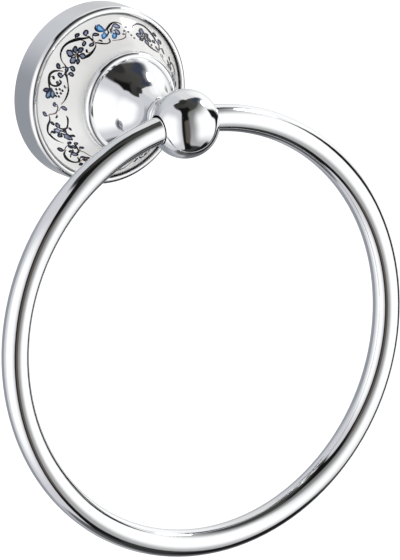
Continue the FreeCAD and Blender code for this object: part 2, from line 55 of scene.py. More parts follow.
class NodeBoard:
    """The node tree of a new material, with short calls for adding and joining nodes."""

    def __init__(self, name: str) -> None:
        """Start an empty tree.

        Args:
            name: The material's name.
        """
        self.material = bpy.data.materials.new(name)
        self.material.use_nodes = True
        self.tree = self.material.node_tree
        self.tree.nodes.clear()
        self.output = self.add("ShaderNodeOutputMaterial")

    def add(self, kind: str, **settings: object) -> bpy.types.Node:
        """Add a node and set its properties.

        Args:
            kind: The node's type name.
            **settings: Properties of the node by name.

        Returns:
            The new node.
        """
        node = self.tree.nodes.new(kind)
        for key, value in settings.items():
            setattr(node, key, value)
        return node

    def join(self, source: bpy.types.NodeSocket, target: bpy.types.NodeSocket) -> None:
        """Link an output socket to an input socket."""
        self.tree.links.new(source, target)

    def surface(self, shader: bpy.types.Node) -> None:
        """Make a shader the surface of the material."""
        self.join(shader.outputs[0], self.output.inputs["Surface"])

    def principled(self, **values: object) -> bpy.types.Node:
        """Add the main shader, make it the surface and set its sockets.

        Args:
            **values: Socket values, with underscores for the spaces in their names.

        Returns:
            The shader node.
        """
        shader = self.add("ShaderNodeBsdfPrincipled")
        for key, value in values.items():
            shader.inputs[key.replace("_", " ")].default_value = value
        self.surface(shader)
        return shader

    def place(self, stretch: tuple[float, float, float] = (1.0, 1.0, 1.0)) -> bpy.types.NodeSocket:
        """Give the point on the object in its own frame.

        Args:
            stretch: The scale along each axis.

        Returns:
            The point's socket.
        """
        coordinates = self.add("ShaderNodeTexCoord")
        mapping = self.add("ShaderNodeMapping")
        mapping.inputs["Scale"].default_value = stretch
        self.join(coordinates.outputs["Object"], mapping.inputs["Vector"])
        return mapping.outputs["Vector"]

    def noise(self, where: bpy.types.NodeSocket, scale: float, detail: float = 3.0) -> bpy.types.NodeSocket:
        """Give fractal noise at a place.

        Args:
            where: The point that the noise is read at.
            scale: Cells per metre.
            detail: Octaves.

        Returns:
            The noise's factor socket.
        """
        texture = self.add("ShaderNodeTexNoise")
        texture.inputs["Scale"].default_value = scale
        texture.inputs["Detail"].default_value = detail
        self.join(where, texture.inputs["Vector"])
        return texture.outputs["Fac"]

    def ramp(self, factor: bpy.types.NodeSocket,
             stops: list[tuple[float, Colour]]) -> bpy.types.NodeSocket:
        """Turn a factor into a colour by a few stops.

        Args:
            factor: The factor, from 0 to 1.
            stops: Positions and linear colours.

        Returns:
            The colour socket.
        """
        node = self.add("ShaderNodeValToRGB")
        elements = node.color_ramp.elements
        while len(elements) < len(stops):
            elements.new(0.5)
        for element, (position, colour) in zip(elements, stops):
            element.position = position
            element.color = (*colour, 1.0)
        self.join(factor, node.inputs["Fac"])
        return node.outputs["Color"]

    def spread(self, factor: bpy.types.NodeSocket, low: float, high: float) -> bpy.types.NodeSocket:
        """Map the middle of a noise factor to a range of values.

        Args:
            factor: The noise factor.
            low: The value at the middle's lower end.
            high: The value at its upper end.

        Returns:
            The value's socket.
        """
        node = self.add("ShaderNodeMapRange")
        node.inputs["From Min"].default_value, node.inputs["From Max"].default_value = NOISE_MIDDLE
        node.inputs["To Min"].default_value = low
        node.inputs["To Max"].default_value = high
        self.join(factor, node.inputs["Value"])
        return node.outputs["Result"]

    def radius(self) -> bpy.types.NodeSocket:
        """Measure how far the point is from the post's axis.

        Returns:
            The distance's socket, in metres.
        """
        coordinates = self.add("ShaderNodeTexCoord")
        flat = self.add("ShaderNodeMapping")
        flat.inputs["Scale"].default_value = (1.0, 0.0, 1.0)
        self.join(coordinates.outputs["Object"], flat.inputs["Vector"])
        length = self.add("ShaderNodeVectorMath", operation="LENGTH")
        self.join(flat.outputs["Vector"], length.inputs[0])
        return length.outputs["Value"]

    def step(self, value: bpy.types.NodeSocket, low: float, high: float) -> bpy.types.NodeSocket:
        """Rise from 0 to 1 as a value passes from one level to another.

        Args:
            value: The value.
            low: The level that gives 0.
            high: The level that gives 1. It may be the smaller one.

        Returns:
            The share's socket.
        """
        node = self.add("ShaderNodeMapRange", interpolation_type="SMOOTHSTEP")
        node.inputs["From Min"].default_value = low
        node.inputs["From Max"].default_value = high
        self.join(value, node.inputs["Value"])
        return node.outputs["Result"]

    def blend(self, factor: bpy.types.NodeSocket, first: bpy.types.NodeSocket | Colour,
              second: bpy.types.NodeSocket | Colour) -> bpy.types.NodeSocket:
        """Mix two colours, each of them a plain colour or a socket.

        Args:
            factor: The second colour's share, from 0 to 1.
            first: The first colour.
            second: The second colour.

        Returns:
            The mixed colour's socket.
        """
        node = self.add("ShaderNodeMix", data_type="RGBA")
        self.join(factor, node.inputs["Factor"])
        for name, colour in (("A", first), ("B", second)):
            target = [socket for socket in node.inputs if socket.name == name and socket.type == "RGBA"][0]
            if isinstance(colour, tuple):
                target.default_value = (*colour, 1.0)
            else:
                self.join(colour, target)
        return [socket for socket in node.outputs if socket.type == "RGBA"][0]

    def bump(self, height: bpy.types.NodeSocket, target: bpy.types.NodeSocket, depth: float) -> None:
        """Raise the surface by a height.

        Args:
            height: The height, from 0 to 1.
            target: The normal socket that it goes to.
            depth: The rise of a height of 1, in metres.
        """
        node = self.add("ShaderNodeBump")
        node.inputs["Strength"].default_value = 1.0
        node.inputs["Distance"].default_value = depth
        self.join(height, node.inputs["Height"])
        self.join(node.outputs["Normal"], target)


class Buffing(Enum):
    """How a piece was held to the buffing wheel, as the stretch of its marks along X, Y and Z."""

    TURNED = (1.0, 2.5, 1.0)
    EVEN = (1.0, 1.0, 1.0)


@dataclass(frozen=True)
class Chrome:
    """Bright chrome over a polished body, with faint buffing waves and dry wipe marks."""

    name: str
    buffing: Buffing = Buffing.TURNED
    tint: Colour = (0.88, 0.885, 0.895)
    polish: float = 0.015
    wiped: float = 0.035
    wave: float = 0.0000005
    mark_scale: float = 90.0
    wave_scale: float = 140.0

    def material(self) -> bpy.types.Material:
        """Build the finish's nodes.

        Returns:
            The new material.
        """
        board = NodeBoard(self.name)
        shader = board.principled(Base_Color=(*self.tint, 1.0), Metallic=1.0)
        marks = board.noise(board.place(self.buffing.value), self.mark_scale, 5.0)
        board.join(board.spread(marks, self.polish, self.wiped), shader.inputs["Roughness"])
        waves = board.noise(board.place(), self.wave_scale, 2.0)
        board.bump(waves, shader.inputs["Normal"], self.wave)
        return board.material


@dataclass(frozen=True)
class Glaze:
    """White glazed ceramic: a warm white body under a clear, slightly uneven glaze.

    The glaze ends near the outer edge, and the bare edge past it is painted dark grey as shade of the narrow
    gap between the ceramic and the cup's recess.
    """

    name: str
    body: Colour = (0.90, 0.895, 0.88)
    thin: Colour = (0.865, 0.865, 0.86)
    # Painted shade: the dark grey of the bare outer edge stands in for the shadow in the gap beside the
    # cup's recess.
    gap_shade: Colour = (0.28, 0.28, 0.285)
    gloss: float = 0.03
    unevenness: float = 0.000006
    glaze_end: float = 28.42 * MM
    shade_start: float = 28.58 * MM
    cloud_scale: float = 55.0
    ripple_scale: float = 260.0

    def material(self) -> bpy.types.Material:
        """Build the finish's nodes.

        Returns:
            The new material.
        """
        board = NodeBoard(self.name)
        shader = board.principled(Roughness=0.35, Coat_Roughness=self.gloss)
        clouds = board.noise(board.place(), self.cloud_scale, 4.0)
        colour = board.ramp(clouds, [(0.35, self.thin), (0.6, self.body)])
        # Painted shade: past the glaze's end the colour turns dark grey, for the shadow in the gap between
        # the ceramic and the cup.
        edge = board.step(board.radius(), self.glaze_end, self.shade_start)
        board.join(board.blend(edge, colour, self.gap_shade), shader.inputs["Base Color"])
        glazed = board.step(board.radius(), self.shade_start, self.glaze_end)
        board.join(glazed, shader.inputs["Coat Weight"])
        ripples = board.noise(board.place(), self.ripple_scale, 2.0)
        board.bump(ripples, shader.inputs["Coat Normal"], self.unevenness)
        return board.material


@dataclass(frozen=True)
class PlatedSteel:
    """Zinc-plated sheet steel with a grain along one way and small crystal patches."""

    name: str
    tint: Colour = (0.60, 0.61, 0.62)
    grain: tuple[float, float, float] = (30.0, 30.0, 900.0)
    roughness: float = 0.32
    crystal_scale: float = 420.0
    relief: float = 0.000004

    def material(self) -> bpy.types.Material:
        """Build the finish's nodes.

        Returns:
            The new material.
        """
        board = NodeBoard(self.name)
        shader = board.principled(Metallic=1.0)
        patches = board.add("ShaderNodeTexVoronoi")
        patches.inputs["Scale"].default_value = self.crystal_scale
        board.join(board.place(), patches.inputs["Vector"])
        darker = tuple(0.82 * part for part in self.tint)
        colour = board.ramp(patches.outputs["Distance"], [(0.0, darker), (0.7, self.tint)])
        board.join(colour, shader.inputs["Base Color"])
        lines = board.noise(board.place(self.grain), 1.0, 4.0)
        board.join(board.spread(lines, self.roughness - 0.08, self.roughness + 0.1),
                   shader.inputs["Roughness"])
        board.bump(lines, shader.inputs["Normal"], self.relief)
        return board.material


@dataclass(frozen=True)
class Silicone:
    """Soft pale gasket, dull and a little cloudy."""

    name: str
    tint: Colour = (0.72, 0.72, 0.70)
    cloud_scale: float = 300.0
    relief: float = 0.00001

    def material(self) -> bpy.types.Material:
        """Build the finish's nodes.

        Returns:
            The new material.
        """
        board = NodeBoard(self.name)
        shader = board.principled(Roughness=0.55)
        darker = tuple(0.86 * part for part in self.tint)
        clouds = board.noise(board.place(), self.cloud_scale, 3.0)
        board.join(board.ramp(clouds, [(0.3, darker), (0.7, self.tint)]), shader.inputs["Base Color"])
        board.bump(clouds, shader.inputs["Normal"], self.relief)
        return board.material


@dataclass(frozen=True)
class Piece:
    """A piece whose form is the CAD model's: its node, its finish and its size along X, Y and Z in mm."""

    node: str
    finish: "Chrome | Glaze | PlatedSteel | Silicone"
    size: tuple[float, float, float]

    def dress(self) -> None:
        """Give every material slot of the node the finish, and report its size."""
        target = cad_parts[self.node]
        coat = bpy.data.materials.get(self.finish.name) or self.finish.material()
        for slot in target.material_slots:
            slot.material = coat
        measured = [side / MM for side in target.dimensions]
        off = max(abs(is_now - wanted) for is_now, wanted in zip(measured, self.size))
        note = "as planned" if off < SIZE_SLACK else "not as planned"
        LOG.info("%s: %s, %.1f x %.1f x %.1f mm, %s", self.node, self.finish.name, *measured, note)


class SubAssembly:
    """A group of pieces that are put together before they go on the wall."""

    def pieces(self) -> list[Piece]:
        """Give the pieces among the group's fields, in their order."""
        return [value for value in vars(self).values() if isinstance(value, Piece)]

    def build(self) -> None:
        """Dress every piece of the group."""
        LOG.info("%s", type(self).__name__)
        for piece in self.pieces():
            piece.dress()


SCREW_STEEL = PlatedSteel("steel_screw", (0.5, 0.5, 0.49), (60.0, 900.0, 60.0))


@dataclass(frozen=True)
class WallCup(SubAssembly):
    """The chrome cup, the steel plate that it hangs on, its small grip screw and the soft ring in it."""

    cup: Piece = Piece("base_cup", Chrome("chrome_cup"), (63.0, 12.0, 63.0))
    plate: Piece = Piece("wall_plate", PlatedSteel("steel_plate"), (55.8, 4.8, 55.8))
    grip_screw: Piece = Piece("set_screw", SCREW_STEEL, (4.0, 4.0, 4.0))
    soft_seat: Piece = Piece("base_gasket", Silicone("silicone_gasket"), (58.3, 0.4, 58.3))


@dataclass(frozen=True)
class BellPost(SubAssembly):
    """The chrome bell, and the long screw, split washer and soft ring that hold it on the ceramic."""

    bell: Piece = Piece("bell_post", Chrome("chrome_post"), (36.6, 44.2, 36.6))
    long_screw: Piece = Piece("centre_screw", SCREW_STEEL, (11.5, 58.4, 11.5))
    split_washer: Piece = Piece("spring_washer", PlatedSteel("steel_washer"), (10.9, 1.4, 10.9))
    soft_collar: Piece = Piece("collar_gasket", Silicone("silicone_gasket"), (33.4, 0.4, 33.4))


@dataclass(frozen=True)
class BallAndRing(SubAssembly):
    """The chrome ball with its two side sockets, and the ring that swings in them."""

    ball: Piece = Piece("ball_head", Chrome("chrome_ball", buffing=Buffing.EVEN), (21.6, 22.6, 24.2))
    ring: Piece = Piece("towel_ring", Chrome("chrome_ring"), (160.0, 9.5, 159.7))


@dataclass(frozen=True)
class Ink:
    """Ceramic colour under the glaze, laid with a brush.

    The edge colour gathers along the outline of a stroke and more on its heavy side, the heart
    colour shows in its middle and the thin colour where the brush carried little.
    """

    name: str
    edge: Colour
    heart: Colour
    thin: Colour

    def material(self) -> bpy.types.Material:
        """Build the nodes from the stroke's own coordinates.

        Returns:
            The new material.
        """
        board = NodeBoard(self.name)
        shader = board.principled(Roughness=0.5, Coat_Weight=0.35, Coat_Roughness=0.03,
                                  Specular_IOR_Level=0.15)
        inset, across, load = (board.add("ShaderNodeAttribute", attribute_name=name).outputs["Fac"]
                               for name in ("inset", "across", "load"))
        heart = board.blend(board.step(across, 0.55, 0.95), self.heart, self.edge)
        wash = board.blend(board.step(inset, 0.5, 1.0), self.edge, heart)
        board.join(board.blend(load, self.thin, wash), shader.inputs["Base Color"])
        return board.material


class Pigment(Enum):
    """The colours on the painter's palette."""

    LINE = Ink("ink_line", edge=(0.004, 0.003, 0.003), heart=(0.006, 0.005, 0.005), thin=(0.26, 0.13, 0.07))
    NAVY = Ink("ink_navy", edge=(0.003, 0.004, 0.008), heart=(0.12, 0.13, 0.21), thin=(0.02, 0.022, 0.035))
    SLATE = Ink("ink_slate", edge=(0.004, 0.005, 0.011), heart=(0.24, 0.27, 0.40), thin=(0.02, 0.022, 0.035))
    SKY = Ink("ink_sky", edge=(0.02, 0.09, 0.24), heart=(0.22, 0.50, 0.85), thin=(0.40, 0.60, 0.85))
    STEEL = Ink("ink_steel", edge=(0.012, 0.025, 0.055), heart=(0.24, 0.34, 0.50), thin=(0.12, 0.17, 0.25))
    PALE = Ink("ink_pale", edge=(0.04, 0.045, 0.08), heart=(0.40, 0.43, 0.58), thin=(0.20, 0.22, 0.30))
    BROWN = Ink("ink_brown", edge=(0.02, 0.012, 0.008), heart=(0.14, 0.08, 0.05), thin=(0.28, 0.15, 0.08))


@dataclass(frozen=True)
class Stroke:
    """One brush stroke: its pigment and its points as (angle in degrees, way up the flank, width in mm)."""

    pigment: Pigment
    points: tuple[tuple[float, float, float], ...]
    layer: int = 0


VINE_FULLNESS = 1.6
LEAF_FULLNESS = 1.62
MM_PER_DEGREE = 0.42
MM_PER_FLANK = 13.8
PETAL, BUD = 2, 1
LANES = (-1.0, -0.66, -0.33, 0.0, 0.33, 0.66, 1.0)
CURVE_STEPS = 7
THIN_LINE = 0.2
THICKER_BY = 0.35
CAP = tuple((math.sin(math.radians(a)), math.cos(math.radians(a))) for a in (25.0, 50.0, 70.0, 86.0))
LEAF_SHAPE = ((0.0, 0.2), (0.34, 0.22), (0.52, 0.55), (0.7, 1.0), (0.86, 1.08), (1.0, 0.9))
PETAL_SHAPE = ((0.0, 0.2), (0.22, 0.36), (0.45, 0.84), (0.68, 1.1), (0.86, 1.08), (1.0, 0.8))


def vine(*points: tuple[float, float, float]) -> Stroke:
    """A line of the scroll through points of (angle, way up the flank, width in mm)."""
    return Stroke(Pigment.LINE, tuple((angle, up, width * VINE_FULLNESS) for angle, up, width in points))


def leaf(pigment: Pigment, root: Place, tip: Place, width: float, layer: int = BUD,
         bend: float | None = None) -> Stroke:
    """A leaf, bud or petal from its root to its round tip.

    Args:
        pigment: Its colour.
        root: The narrow end, as (angle, way up the flank).
        tip: The round end.
        width: The greatest width in mm.
        layer: How far it lies over the lines. A petal is full, and a bud hangs on a thin stalk.
        bend: How far its middle stands aside, as a share of its length.

    Returns:
        The stroke.
    """
    full = layer >= PETAL
    bend = bend if bend is not None else (0.08 if full else 0.36)
    run = ((tip[0] - root[0]) * MM_PER_DEGREE, (tip[1] - root[1]) * MM_PER_FLANK)
    points = []
    for along, share in PETAL_SHAPE if full else LEAF_SHAPE:
        aside = bend * 4 * along * (1 - along)
        points.append((root[0] + (run[0] * along - run[1] * aside) / MM_PER_DEGREE,
                       root[1] + (run[1] * along + run[0] * aside) / MM_PER_FLANK,
                       width * share * LEAF_FULLNESS))
    return Stroke(pigment, tuple(points), layer)


def speck(angle: float, up: float, tall: float = 0.045, width: float = 0.52) -> Stroke:
    """A short upright dab."""
    return leaf(Pigment.NAVY, (angle, up - tall / 2), (angle, up + tall / 2), width, PETAL)


class Motif(Enum):
    """The drawn units of the scroll. Angles start at the unit's left end."""

    BLOSSOM = (
        vine((4, 0.41, 0.35), (9, 0.33, 0.55), (13, 0.25, 0.75), (19, 0.16, 0.55), (24, 0.135, 0.5),
             (29, 0.17, 0.45), (33, 0.27, 0.32), (35.5, 0.40, 0.18)),
        vine((4, 0.66, 0.2), (7, 0.73, 0.35), (13, 0.78, 0.6), (18, 0.77, 0.7), (21.5, 0.70, 0.4),
             (22.5, 0.62, 0.15)),
        vine((4.5, 0.41, 0.3), (3.8, 0.47, 0.45), (3.5, 0.55, 0.22), (4, 0.67, 0.16)),
        leaf(Pigment.LINE, (13, 0.75), (14.2, 0.63), 0.5),
        leaf(Pigment.SLATE, (3.6, 0.39), (3.2, 0.23), 1.2),
        leaf(Pigment.SLATE, (2.8, 0.5), (-3.0, 0.44), 0.9),
        leaf(Pigment.SLATE, (4.5, 0.48), (8.3, 0.6), 0.9),
        leaf(Pigment.NAVY, (13, 0.27), (9.6, 0.17), 0.9),
        leaf(Pigment.SLATE, (11.2, 0.32), (12.4, 0.47), 0.95),
        leaf(Pigment.BROWN, (1.5, 0.64), (-2.5, 0.66), 0.45),
        leaf(Pigment.NAVY, (22.5, 0.51), (19.4, 0.39), 1.35, PETAL),
        leaf(Pigment.SLATE, (24, 0.50), (25.4, 0.32), 1.4, PETAL),
        leaf(Pigment.NAVY, (21.8, 0.53), (16.4, 0.53), 1.2, PETAL),
        leaf(Pigment.SLATE, (24.6, 0.53), (30.0, 0.53), 1.45, PETAL),
        leaf(Pigment.SLATE, (23, 0.57), (20.4, 0.72), 1.25, PETAL),
        leaf(Pigment.NAVY, (24.5, 0.58), (28.2, 0.68), 1.05, PETAL),
        leaf(Pigment.BROWN, (23.2, 0.5), (23.4, 0.6), 0.7, PETAL + 1),
    )
    CURL = (
        vine((5, 0.46, 0.2), (6, 0.36, 0.3), (8, 0.24, 0.5), (11.5, 0.18, 0.55), (16, 0.21, 0.6),
             (20.5, 0.26, 0.4)),
        vine((15.5, 0.205, 0.4), (18.2, 0.29, 0.42), (18.5, 0.4, 0.42), (16.8, 0.49, 0.42),
             (14.3, 0.52, 0.42), (13, 0.47, 0.35)),
        vine((-1, 0.40, 0.2), (2, 0.52, 0.5), (6, 0.55, 0.58), (8.5, 0.62, 0.45), (14, 0.71, 0.3),
             (20, 0.765, 0.42), (26, 0.74, 0.36), (30, 0.69, 0.22), (33, 0.62, 0.14)),
        leaf(Pigment.SLATE, (14, 0.51), (15.4, 0.43), 0.8),
        leaf(Pigment.NAVY, (13.4, 0.21), (13.0, 0.31), 0.6),
        leaf(Pigment.NAVY, (1.5, 0.43), (2.1, 0.27), 0.95),
        leaf(Pigment.SLATE, (2.4, 0.42), (2.9, 0.54), 0.9),
        leaf(Pigment.SLATE, (2, 0.53), (0, 0.69), 1.0),
        leaf(Pigment.SLATE, (5.8, 0.53), (8.6, 0.41), 1.05),
        leaf(Pigment.SLATE, (8.4, 0.61), (4.6, 0.73), 0.9),
        leaf(Pigment.BROWN, (16.4, 0.74), (16.3, 0.63), 0.4),
        leaf(Pigment.NAVY, (20.8, 0.30), (23.6, 0.15), 0.9, PETAL),
        leaf(Pigment.STEEL, (20.8, 0.31), (28, 0.24), 1.1, PETAL),
        leaf(Pigment.STEEL, (21.2, 0.33), (27, 0.37), 1.15, PETAL),
        speck(21, 0.43), speck(24, 0.47), speck(20.3, 0.52), speck(23.5, 0.57), speck(21, 0.6),
        speck(26.5, 0.45), speck(26.5, 0.53),
    )
    SPRAY = (
        vine((7, 0.29, 0.2), (11, 0.28, 0.36), (15, 0.2, 0.48), (20, 0.15, 0.36), (24, 0.19, 0.52),
             (28, 0.26, 0.4), (31, 0.34, 0.22), (33, 0.4, 0.14)),
        vine((6, 0.3, 0.2), (5.5, 0.42, 0.26), (4, 0.49, 0.3), (0, 0.53, 0.26), (-2.5, 0.5, 0.26)),
        vine((15.5, 0.43, 0.26), (19, 0.5, 0.42), (20, 0.6, 0.4), (19.5, 0.67, 0.36), (16, 0.73, 0.36),
             (11, 0.765, 0.46), (8, 0.75, 0.3)),
        vine((19.5, 0.63, 0.3), (24, 0.61, 0.36), (27.5, 0.66, 0.52), (28.6, 0.76, 0.75)),
        leaf(Pigment.PALE, (5.6, 0.31), (4.6, 0.16), 0.8),
        leaf(Pigment.PALE, (-0.8, 0.53), (-3.2, 0.44), 0.75),
        leaf(Pigment.PALE, (3, 0.55), (1.2, 0.74), 0.85),
        leaf(Pigment.BROWN, (5, 0.44), (9, 0.46), 0.4),
        leaf(Pigment.SLATE, (14, 0.22), (14.3, 0.35), 0.7),
        leaf(Pigment.NAVY, (23.2, 0.19), (21.5, 0.31), 0.7),
        leaf(Pigment.PALE, (21, 0.51), (20, 0.37), 1.3, PETAL),
        leaf(Pigment.SLATE, (19, 0.51), (14.8, 0.45), 1.1, PETAL),
        leaf(Pigment.NAVY, (23.2, 0.49), (25.6, 0.39), 1.0, PETAL),
        leaf(Pigment.SLATE, (24, 0.5), (29.6, 0.6), 1.6, PETAL),
        leaf(Pigment.PALE, (27, 0.58), (31.4, 0.65), 0.95, PETAL),
        leaf(Pigment.NAVY, (22, 0.5), (22.6, 0.6), 0.8, PETAL),
        leaf(Pigment.NAVY, (20.3, 0.66), (21.6, 0.76), 0.6),
    )
    HOOK = (
        vine((4, 0.33, 0.2), (6.5, 0.22, 0.46), (12, 0.165, 0.66), (17, 0.2, 0.56), (20, 0.28, 0.46),
             (19, 0.37, 0.4), (16, 0.41, 0.3)),
        vine((2, 0.66, 0.3), (6, 0.63, 0.46), (10, 0.6, 0.4), (11.4, 0.53, 0.5)),
        vine((10, 0.62, 0.3), (14, 0.68, 0.26), (20, 0.69, 0.22), (27, 0.7, 0.18), (33, 0.74, 0.26),
             (38, 0.68, 0.3)),
        leaf(Pigment.SLATE, (12, 0.28), (12.1, 0.45), 1.25),
        leaf(Pigment.NAVY, (1.6, 0.38), (0.4, 0.2), 1.0),
        leaf(Pigment.NAVY, (1.4, 0.37), (3.4, 0.5), 0.8),
        leaf(Pigment.NAVY, (2.2, 0.5), (-1.4, 0.57), 0.8),
        leaf(Pigment.SLATE, (2.8, 0.46), (5, 0.58), 0.9),
        leaf(Pigment.NAVY, (4.4, 0.51), (7, 0.4), 0.85),
        leaf(Pigment.NAVY, (20, 0.28), (24, 0.25), 0.8),
        leaf(Pigment.BROWN, (21, 0.32), (24.6, 0.48), 0.95),
        leaf(Pigment.NAVY, (18.8, 0.4), (19.5, 0.53), 0.95),
        leaf(Pigment.NAVY, (21.4, 0.44), (23, 0.59), 0.85),
        leaf(Pigment.SLATE, (4, 0.64), (1.6, 0.71), 0.85),
        leaf(Pigment.NAVY, (10, 0.65), (8.4, 0.76), 0.85),
    )
    TULIP = (
        vine((8, 0.29, 0.2), (10.5, 0.24, 0.26), (14, 0.22, 0.36), (18, 0.27, 0.56), (21, 0.34, 0.6),
             (24, 0.4, 0.5), (26.5, 0.42, 0.3)),
        vine((29.5, 0.185, 0.22), (31.3, 0.25, 0.44), (31.2, 0.33, 0.44), (28.8, 0.395, 0.4),
             (25, 0.415, 0.3)),
        vine((6, 0.52, 0.15), (8, 0.63, 0.2), (9.5, 0.71, 0.26), (15, 0.77, 0.26), (20, 0.77, 0.2),
             (24, 0.75, 0.15)),
        vine((26, 0.68, 0.36), (27, 0.77, 0.36), (31, 0.785, 0.32), (35, 0.72, 0.36), (39, 0.62, 0.3)),
        vine((17.5, 0.34, 0.2), (19, 0.41, 0.3), (20, 0.48, 0.2)),
        vine((20, 0.4, 0.24), (20.6, 0.47, 0.34), (21.2, 0.53, 0.24)),
        vine((22.4, 0.4, 0.24), (23.4, 0.5, 0.38), (27, 0.6, 0.24)),
        Stroke(Pigment.SKY, ((28.2, 0.25, 1.9), (28.3, 0.29, 2.4), (27.3, 0.35, 2.0), (25.4, 0.395, 1.0),
                             (24, 0.41, 0.4)), PETAL),
        leaf(Pigment.SKY, (26.6, 0.43), (29.4, 0.57), 1.4, PETAL),
        leaf(Pigment.SKY, (22, 0.49), (20.2, 0.66), 1.25),
        leaf(Pigment.PALE, (20, 0.49), (14.6, 0.56), 1.2),
        leaf(Pigment.PALE, (18.4, 0.42), (12.2, 0.36), 1.3),
        leaf(Pigment.PALE, (4, 0.28), (5.6, 0.37), 0.4),
        leaf(Pigment.PALE, (7, 0.42), (8.2, 0.5), 0.45),
        leaf(Pigment.PALE, (9, 0.54), (10.2, 0.6), 0.5),
        speck(2.0, 0.6), speck(-0.5, 0.68), speck(4.0, 0.5),
    )


SCROLL_ORDER: tuple[tuple[Motif, tuple[float, ...]], ...] = (
    (Motif.BLOSSOM, (32.0, 104.0, 248.0)),
    (Motif.CURL, (140.0, 284.0)),
    (Motif.SPRAY, (176.0, 320.0)),
    (Motif.HOOK, (212.0, 356.0)),
    (Motif.TULIP, (68.0,)),
)


@dataclass
class PaintedRose(SubAssembly):
    """The ceramic ring and the scroll painted on its flank.

    Depths are counted from the wall and radii from the post's axis.
    """

    outer: Place = (28.45 * MM, 11.0 * MM)
    inner: Place = (19.5 * MM, 21.5 * MM)
    bend: float = 60.0 * MM
    film: float = 0.02 * MM
    film_step: float = 0.012 * MM
    ceramic: Piece = Piece("ceramic_ring", Glaze("glaze_white"), (58.3, 15.7, 58.3))
    outline: float = 0.8 * MM
    meshes: dict[Pigment, tuple[list, list, dict[str, list]]] = field(default_factory=dict)
    length: float = field(init=False)
    centre: Vector = field(init=False)
    first: float = field(init=False)
    last: float = field(init=False)

    def __post_init__(self) -> None:
        """Find the length and the centre of the flank's arc and the angles of its two ends."""
        start, stop = Vector(self.outer), Vector(self.inner)
        chord = stop - start
        self.length = 2 * self.bend * math.asin(chord.length / 2 / self.bend)
        side = Vector((chord.y, -chord.x)).normalized()
        self.centre = (start + stop) / 2 + side * math.sqrt(self.bend ** 2 - chord.length_squared / 4)
        self.first = math.atan2(start.y - self.centre.y, start.x - self.centre.x)
        self.last = math.atan2(stop.y - self.centre.y, stop.x - self.centre.x)

    def on_flank(self, angle: float, up: float, rise: float) -> Vector:
        """Give a point on the flank.

        Args:
            angle: Round the axis, in degrees.
            up: 0 at the outer edge and 1 at the cove under the collar.
            rise: Height over the glaze's surface, in metres.

        Returns:
            The point.
        """
        turn = self.first + (self.last - self.first) * up
        reach = self.bend - rise
        radius = self.centre.x + reach * math.cos(turn)
        depth = self.centre.y + reach * math.sin(turn)
        around = math.radians(angle)
        return Vector((radius * math.cos(around), -depth, radius * math.sin(around)))

    def paint(self, stroke: Stroke, start: float) -> None:
        """Lay one stroke on the flank as a strip of small faces.

        Args:
            stroke: The stroke.
            start: The angle of its unit's left end.
        """
        ribs = self.ribs(stroke, start)
        places, faces, marks = self.meshes.setdefault(stroke.pigment,
                                                      ([], [], {"inset": [], "across": [], "load": []}))
        base = len(places)
        first, last = ribs[0][0], ribs[-1][0]
        for point, normal, width in ribs:
            to_end = min((point - first).length, (point - last).length)
            for lane in LANES:
                inset = min((1 - abs(lane)) * width / 2, to_end)
                spot = point + normal * (lane * width / 2)
                degrees = start + math.degrees(spot.x / (self.centre_radius(spot.y)))
                rise = self.film + self.film_step * stroke.layer
                places.append(self.on_flank(degrees, spot.y / self.length, rise))
                marks["inset"].append(min(1.0, inset / self.outline))
                marks["across"].append((lane + 1) / 2)
                marks["load"].append(min(1.0, max(0.0, (width / MM - THIN_LINE) / THICKER_BY)))
        count = len(LANES)
        for rib in range(len(ribs) - 1):
            for lane in range(count - 1):
                corner = base + rib * count + lane
                faces.append((corner, corner + 1, corner + count + 1, corner + count))

    def centre_radius(self, way: float) -> float:
        """The radius of the flank at a distance up it."""
        turn = self.first + (self.last - self.first) * way / self.length
        return self.centre.x + self.bend * math.cos(turn)

    def ribs(self, stroke: Stroke, start: float) -> list[tuple[Vector, Vector, float]]:
        """Work out a stroke's middle line, its sideways direction and its width, on the unrolled flank.

        Args:
            stroke: The stroke.
            start: The angle of its unit's left end.

        Returns:
            A list of (point, sideways unit vector, width), all in metres, with rounded ends.
        """
        controls = []
        for angle, up, width in stroke.points:
            way = up * self.length
            controls.append(Vector((math.radians(angle) * self.centre_radius(way), way, width * MM)))
        line = smooth_line(controls, CURVE_STEPS)
        head = (line[0].xy - line[1].xy).normalized()
        tail = (line[-1].xy - line[-2].xy).normalized()
        start_cap = [(line[0].xy + head * line[0].z / 2 * s, line[0].z * c) for s, c in CAP[::-1]]
        stop_cap = [(line[-1].xy + tail * line[-1].z / 2 * s, line[-1].z * c) for s, c in CAP]
        spots = start_cap + [(item.xy, item.z) for item in line] + stop_cap
        ribs = []
        for index, (point, width) in enumerate(spots):
            before = spots[max(0, index - 1)][0]
            after = spots[min(len(spots) - 1, index + 1)][0]
            way = (after - before).normalized()
            ribs.append((point, Vector((-way.y, way.x)), width))
        return ribs

    def build(self) -> None:
        """Dress the ceramic and paint the whole scroll, one mesh for each pigment."""
        super().build()
        for motif, starts in SCROLL_ORDER:
            for start in starts:
                for stroke in motif.value:
                    self.paint(stroke, start)
        for pigment, (places, faces, marks) in self.meshes.items():
            mesh = bpy.data.meshes.new(f"scroll_{pigment.name.lower()}")
            mesh.from_pydata(places, [], faces)
            for name, values in marks.items():
                mesh.attributes.new(name, "FLOAT", "POINT").data.foreach_set("value", values)
            mesh.shade_smooth()
            mesh.materials.append(pigment.value.material())
            piece = add_object(mesh.name, mesh)
            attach(piece, BRACKET)
            LOG.info("%s: %d faces", mesh.name, len(faces))


